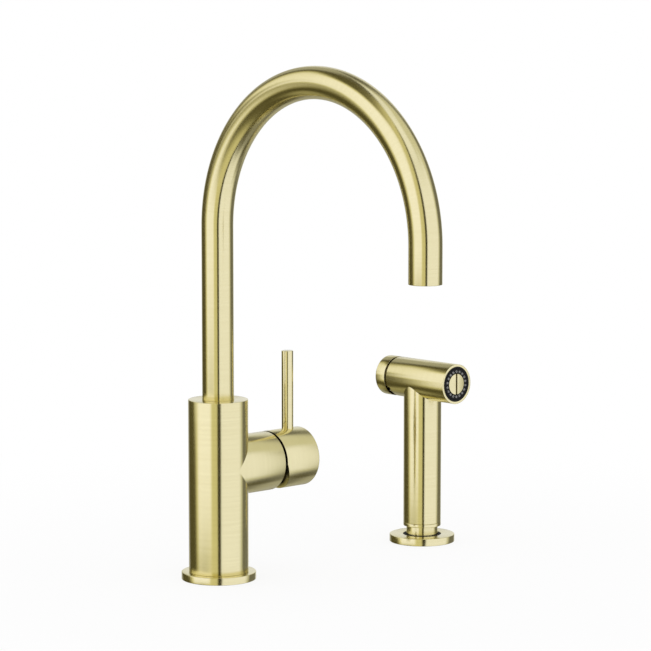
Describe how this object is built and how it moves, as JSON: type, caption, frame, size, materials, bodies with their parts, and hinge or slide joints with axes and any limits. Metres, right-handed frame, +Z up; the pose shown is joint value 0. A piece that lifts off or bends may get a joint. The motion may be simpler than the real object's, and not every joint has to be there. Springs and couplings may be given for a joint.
{
  "type": "side spray kitchen faucet",
  "caption": "Gooseneck kitchen mixer tap in brushed brass with a swivelling spout, a side pin lever and a separate pull-out hand spray in its own deck holder.",
  "frame": {"origin": "the faucet's vertical axis where its base ring meets the worktop, at the mouth of the central stud thread", "axes": "+Z up; the spout points along -Y at rest, the mixer handle along +X, and the side spray stands 230 mm along +X with its face towards -Y"},
  "size_m": [0.2878, 0.2874, 0.4142],
  "materials": {
    "brushed_brass": "brushed",
    "raw_brass": "machined",
    "copper_pipe": "drawn copper",
    "black_rubber": "matte",
    "black_plastic": "matte",
    "white_plastic": "matte",
    "ceramic_disc": "polished",
    "steel": "satin"
  },
  "bodies": {
    "deck_unit": {"body_shell": "brushed_brass", "base_ring": "brushed_brass", "deck_seal": "black_rubber", "base_insert": "raw_brass", "hot_inlet_pipe": "copper_pipe", "cold_inlet_pipe": "copper_pipe", "spray_feed_pipe": "copper_pipe", "cartridge_seal": "black_rubber", "cartridge_base": "black_plastic", "fixed_disc": "ceramic_disc", "cartridge_housing": "white_plastic", "retaining_nut": "raw_brass", "cartridge_shroud": "black_plastic", "diverter_body": "raw_brass", "diverter_spring": "steel", "spout_slip_ring": "white_plastic", "spout_set_screw": "steel", "holder_flange": "brushed_brass", "holder_seal": "black_rubber", "holder_bush": "black_plastic"},
    "spout": {"spout_tube": "brushed_brass", "spout_adapter": "raw_brass", "spout_o_rings": "black_rubber", "aerator_housing": "brushed_brass", "aerator_insert": "white_plastic", "aerator_seal": "black_rubber"},
    "diverter_piston": {"diverter_poppet": "raw_brass"},
    "mixing_rotor": {"cartridge_rotor": "black_plastic", "pivot_pin": "steel"},
    "flow_disc": {"moving_disc": "ceramic_disc", "disc_carrier": "black_plastic"},
    "mixer_handle": {"lever_stem": "steel", "handle_hub": "brushed_brass", "lever_rod": "brushed_brass", "handle_set_screw": "steel"},
    "neck": {"spray_neck": "brushed_brass", "neck_o_ring": "black_rubber", "neck_clip": "steel", "check_valve": "white_plastic"},
    "handset": {"grip_end_ring": "brushed_brass", "handset_shell": "brushed_brass", "spray_water_tube": "white_plastic", "valve_body": "raw_brass", "spray_face": "black_rubber", "face_distributor": "white_plastic", "face_screw": "brushed_brass", "button_pin": "steel", "spring_plug": "raw_brass", "valve_spring": "steel"},
    "valve_plunger": {"valve_stem": "steel", "valve_seal": "black_rubber"},
    "rocker_cap": {"rear_cap": "brushed_brass"}
  },
  "joints": [
    {"name": "spout_swivel", "type": "hinge", "parent": "deck_unit", "child": "spout", "pos_m": [0, 0, 0.14], "axis": [0, 0, 1], "continuous": true},
    {"name": "temperature_turn", "type": "hinge", "parent": "deck_unit", "child": "mixing_rotor", "pos_m": [0.044, 0, 0.09], "axis": [1, 0, 0], "range_deg": [-45, 45]},
    {"name": "flow_tilt", "type": "hinge", "parent": "mixing_rotor", "child": "mixer_handle", "pos_m": [0.044, 0, 0.09], "axis": [0, 1, 0], "range_deg": [0, 21]},
    {"name": "disc_slide", "type": "slide", "parent": "mixing_rotor", "child": "flow_disc", "axis": [0, 0, 1], "range_m": [0, 0.005]},
    {"name": "spray_lift", "type": "slide", "parent": "deck_unit", "child": "neck", "axis": [0, 0, 1], "range_m": [0, 0.09]},
    {"name": "spray_swivel", "type": "hinge", "parent": "neck", "child": "handset", "pos_m": [0.23, 0, 0.02], "axis": [0, 0, 1], "continuous": true},
    {"name": "spray_button", "type": "hinge", "parent": "handset", "child": "rocker_cap", "pos_m": [0.23, 0.0286, 0.1393], "axis": [-1, 0, 0], "range_deg": [0, 8], "stiffness_Nm_per_rad": 0.5, "springref_deg": -5.73, "deforming": ["valve_spring"]},
    {"name": "valve_slide", "type": "slide", "parent": "handset", "child": "valve_plunger", "axis": [0, -1, 0], "range_m": [0, 0.0015]},
    {"name": "diverter_slide", "type": "slide", "parent": "deck_unit", "child": "diverter_piston", "axis": [0, 0, 1], "range_m": [0, 0.0031]}
  ],
  "couplings": [
    {"joint": "disc_slide", "follows": "flow_tilt", "m_per_rad": 0.0135},
    {"joint": "valve_slide", "follows": "spray_button", "m_per_rad": 0.0095},
    {"joint": "diverter_slide", "follows": "spray_button", "m_per_rad": 0.0215}
  ]
}
